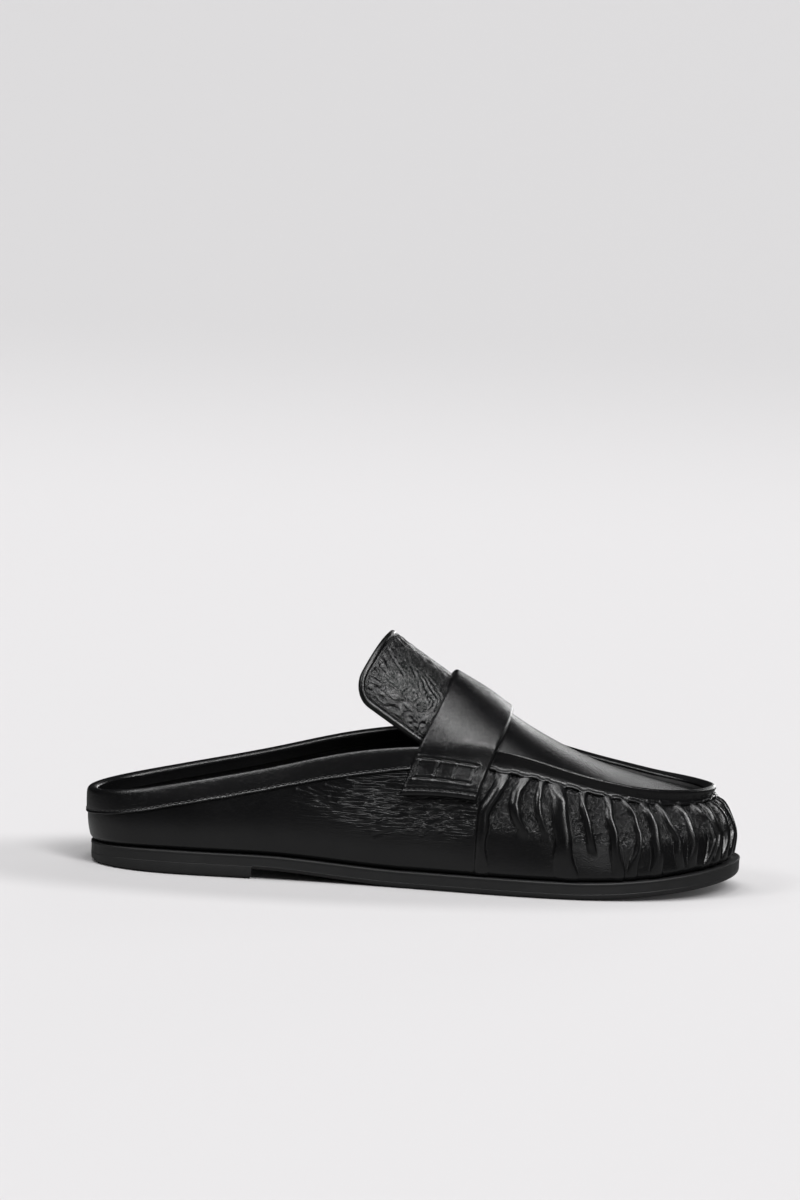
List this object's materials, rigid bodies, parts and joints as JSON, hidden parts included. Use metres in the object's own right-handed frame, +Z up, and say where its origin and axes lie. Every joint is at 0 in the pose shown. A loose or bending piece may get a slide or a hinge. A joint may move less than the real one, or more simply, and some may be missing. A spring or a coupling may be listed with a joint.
{
  "type": "loafer mule",
  "caption": "Backless leather loafer with a gathered apron toe, a stitched strap over the instep, a standing tongue, a folded collar and a low heel.",
  "frame": {"origin": "middle of the shoe's bounding box, on the plane that its sole stands on", "axes": "+X from heel to toe, +Y to the inner side of the foot, +Z up"},
  "size_m": [0.268, 0.0948, 0.1001],
  "materials": {
    "upper_leather": "black, soft sheen",
    "insole_leather": "black, matte",
    "sole_rubber": "black, satin"
  },
  "bodies": {
    "root": {"outsole": "sole_rubber", "heel_lift": "sole_rubber", "insole": "insole_leather", "upper": "upper_leather", "apron_rib": "upper_leather", "collar_band": "upper_leather", "tongue": "upper_leather", "saddle_strap": "upper_leather"}
  },
  "joints": []
}
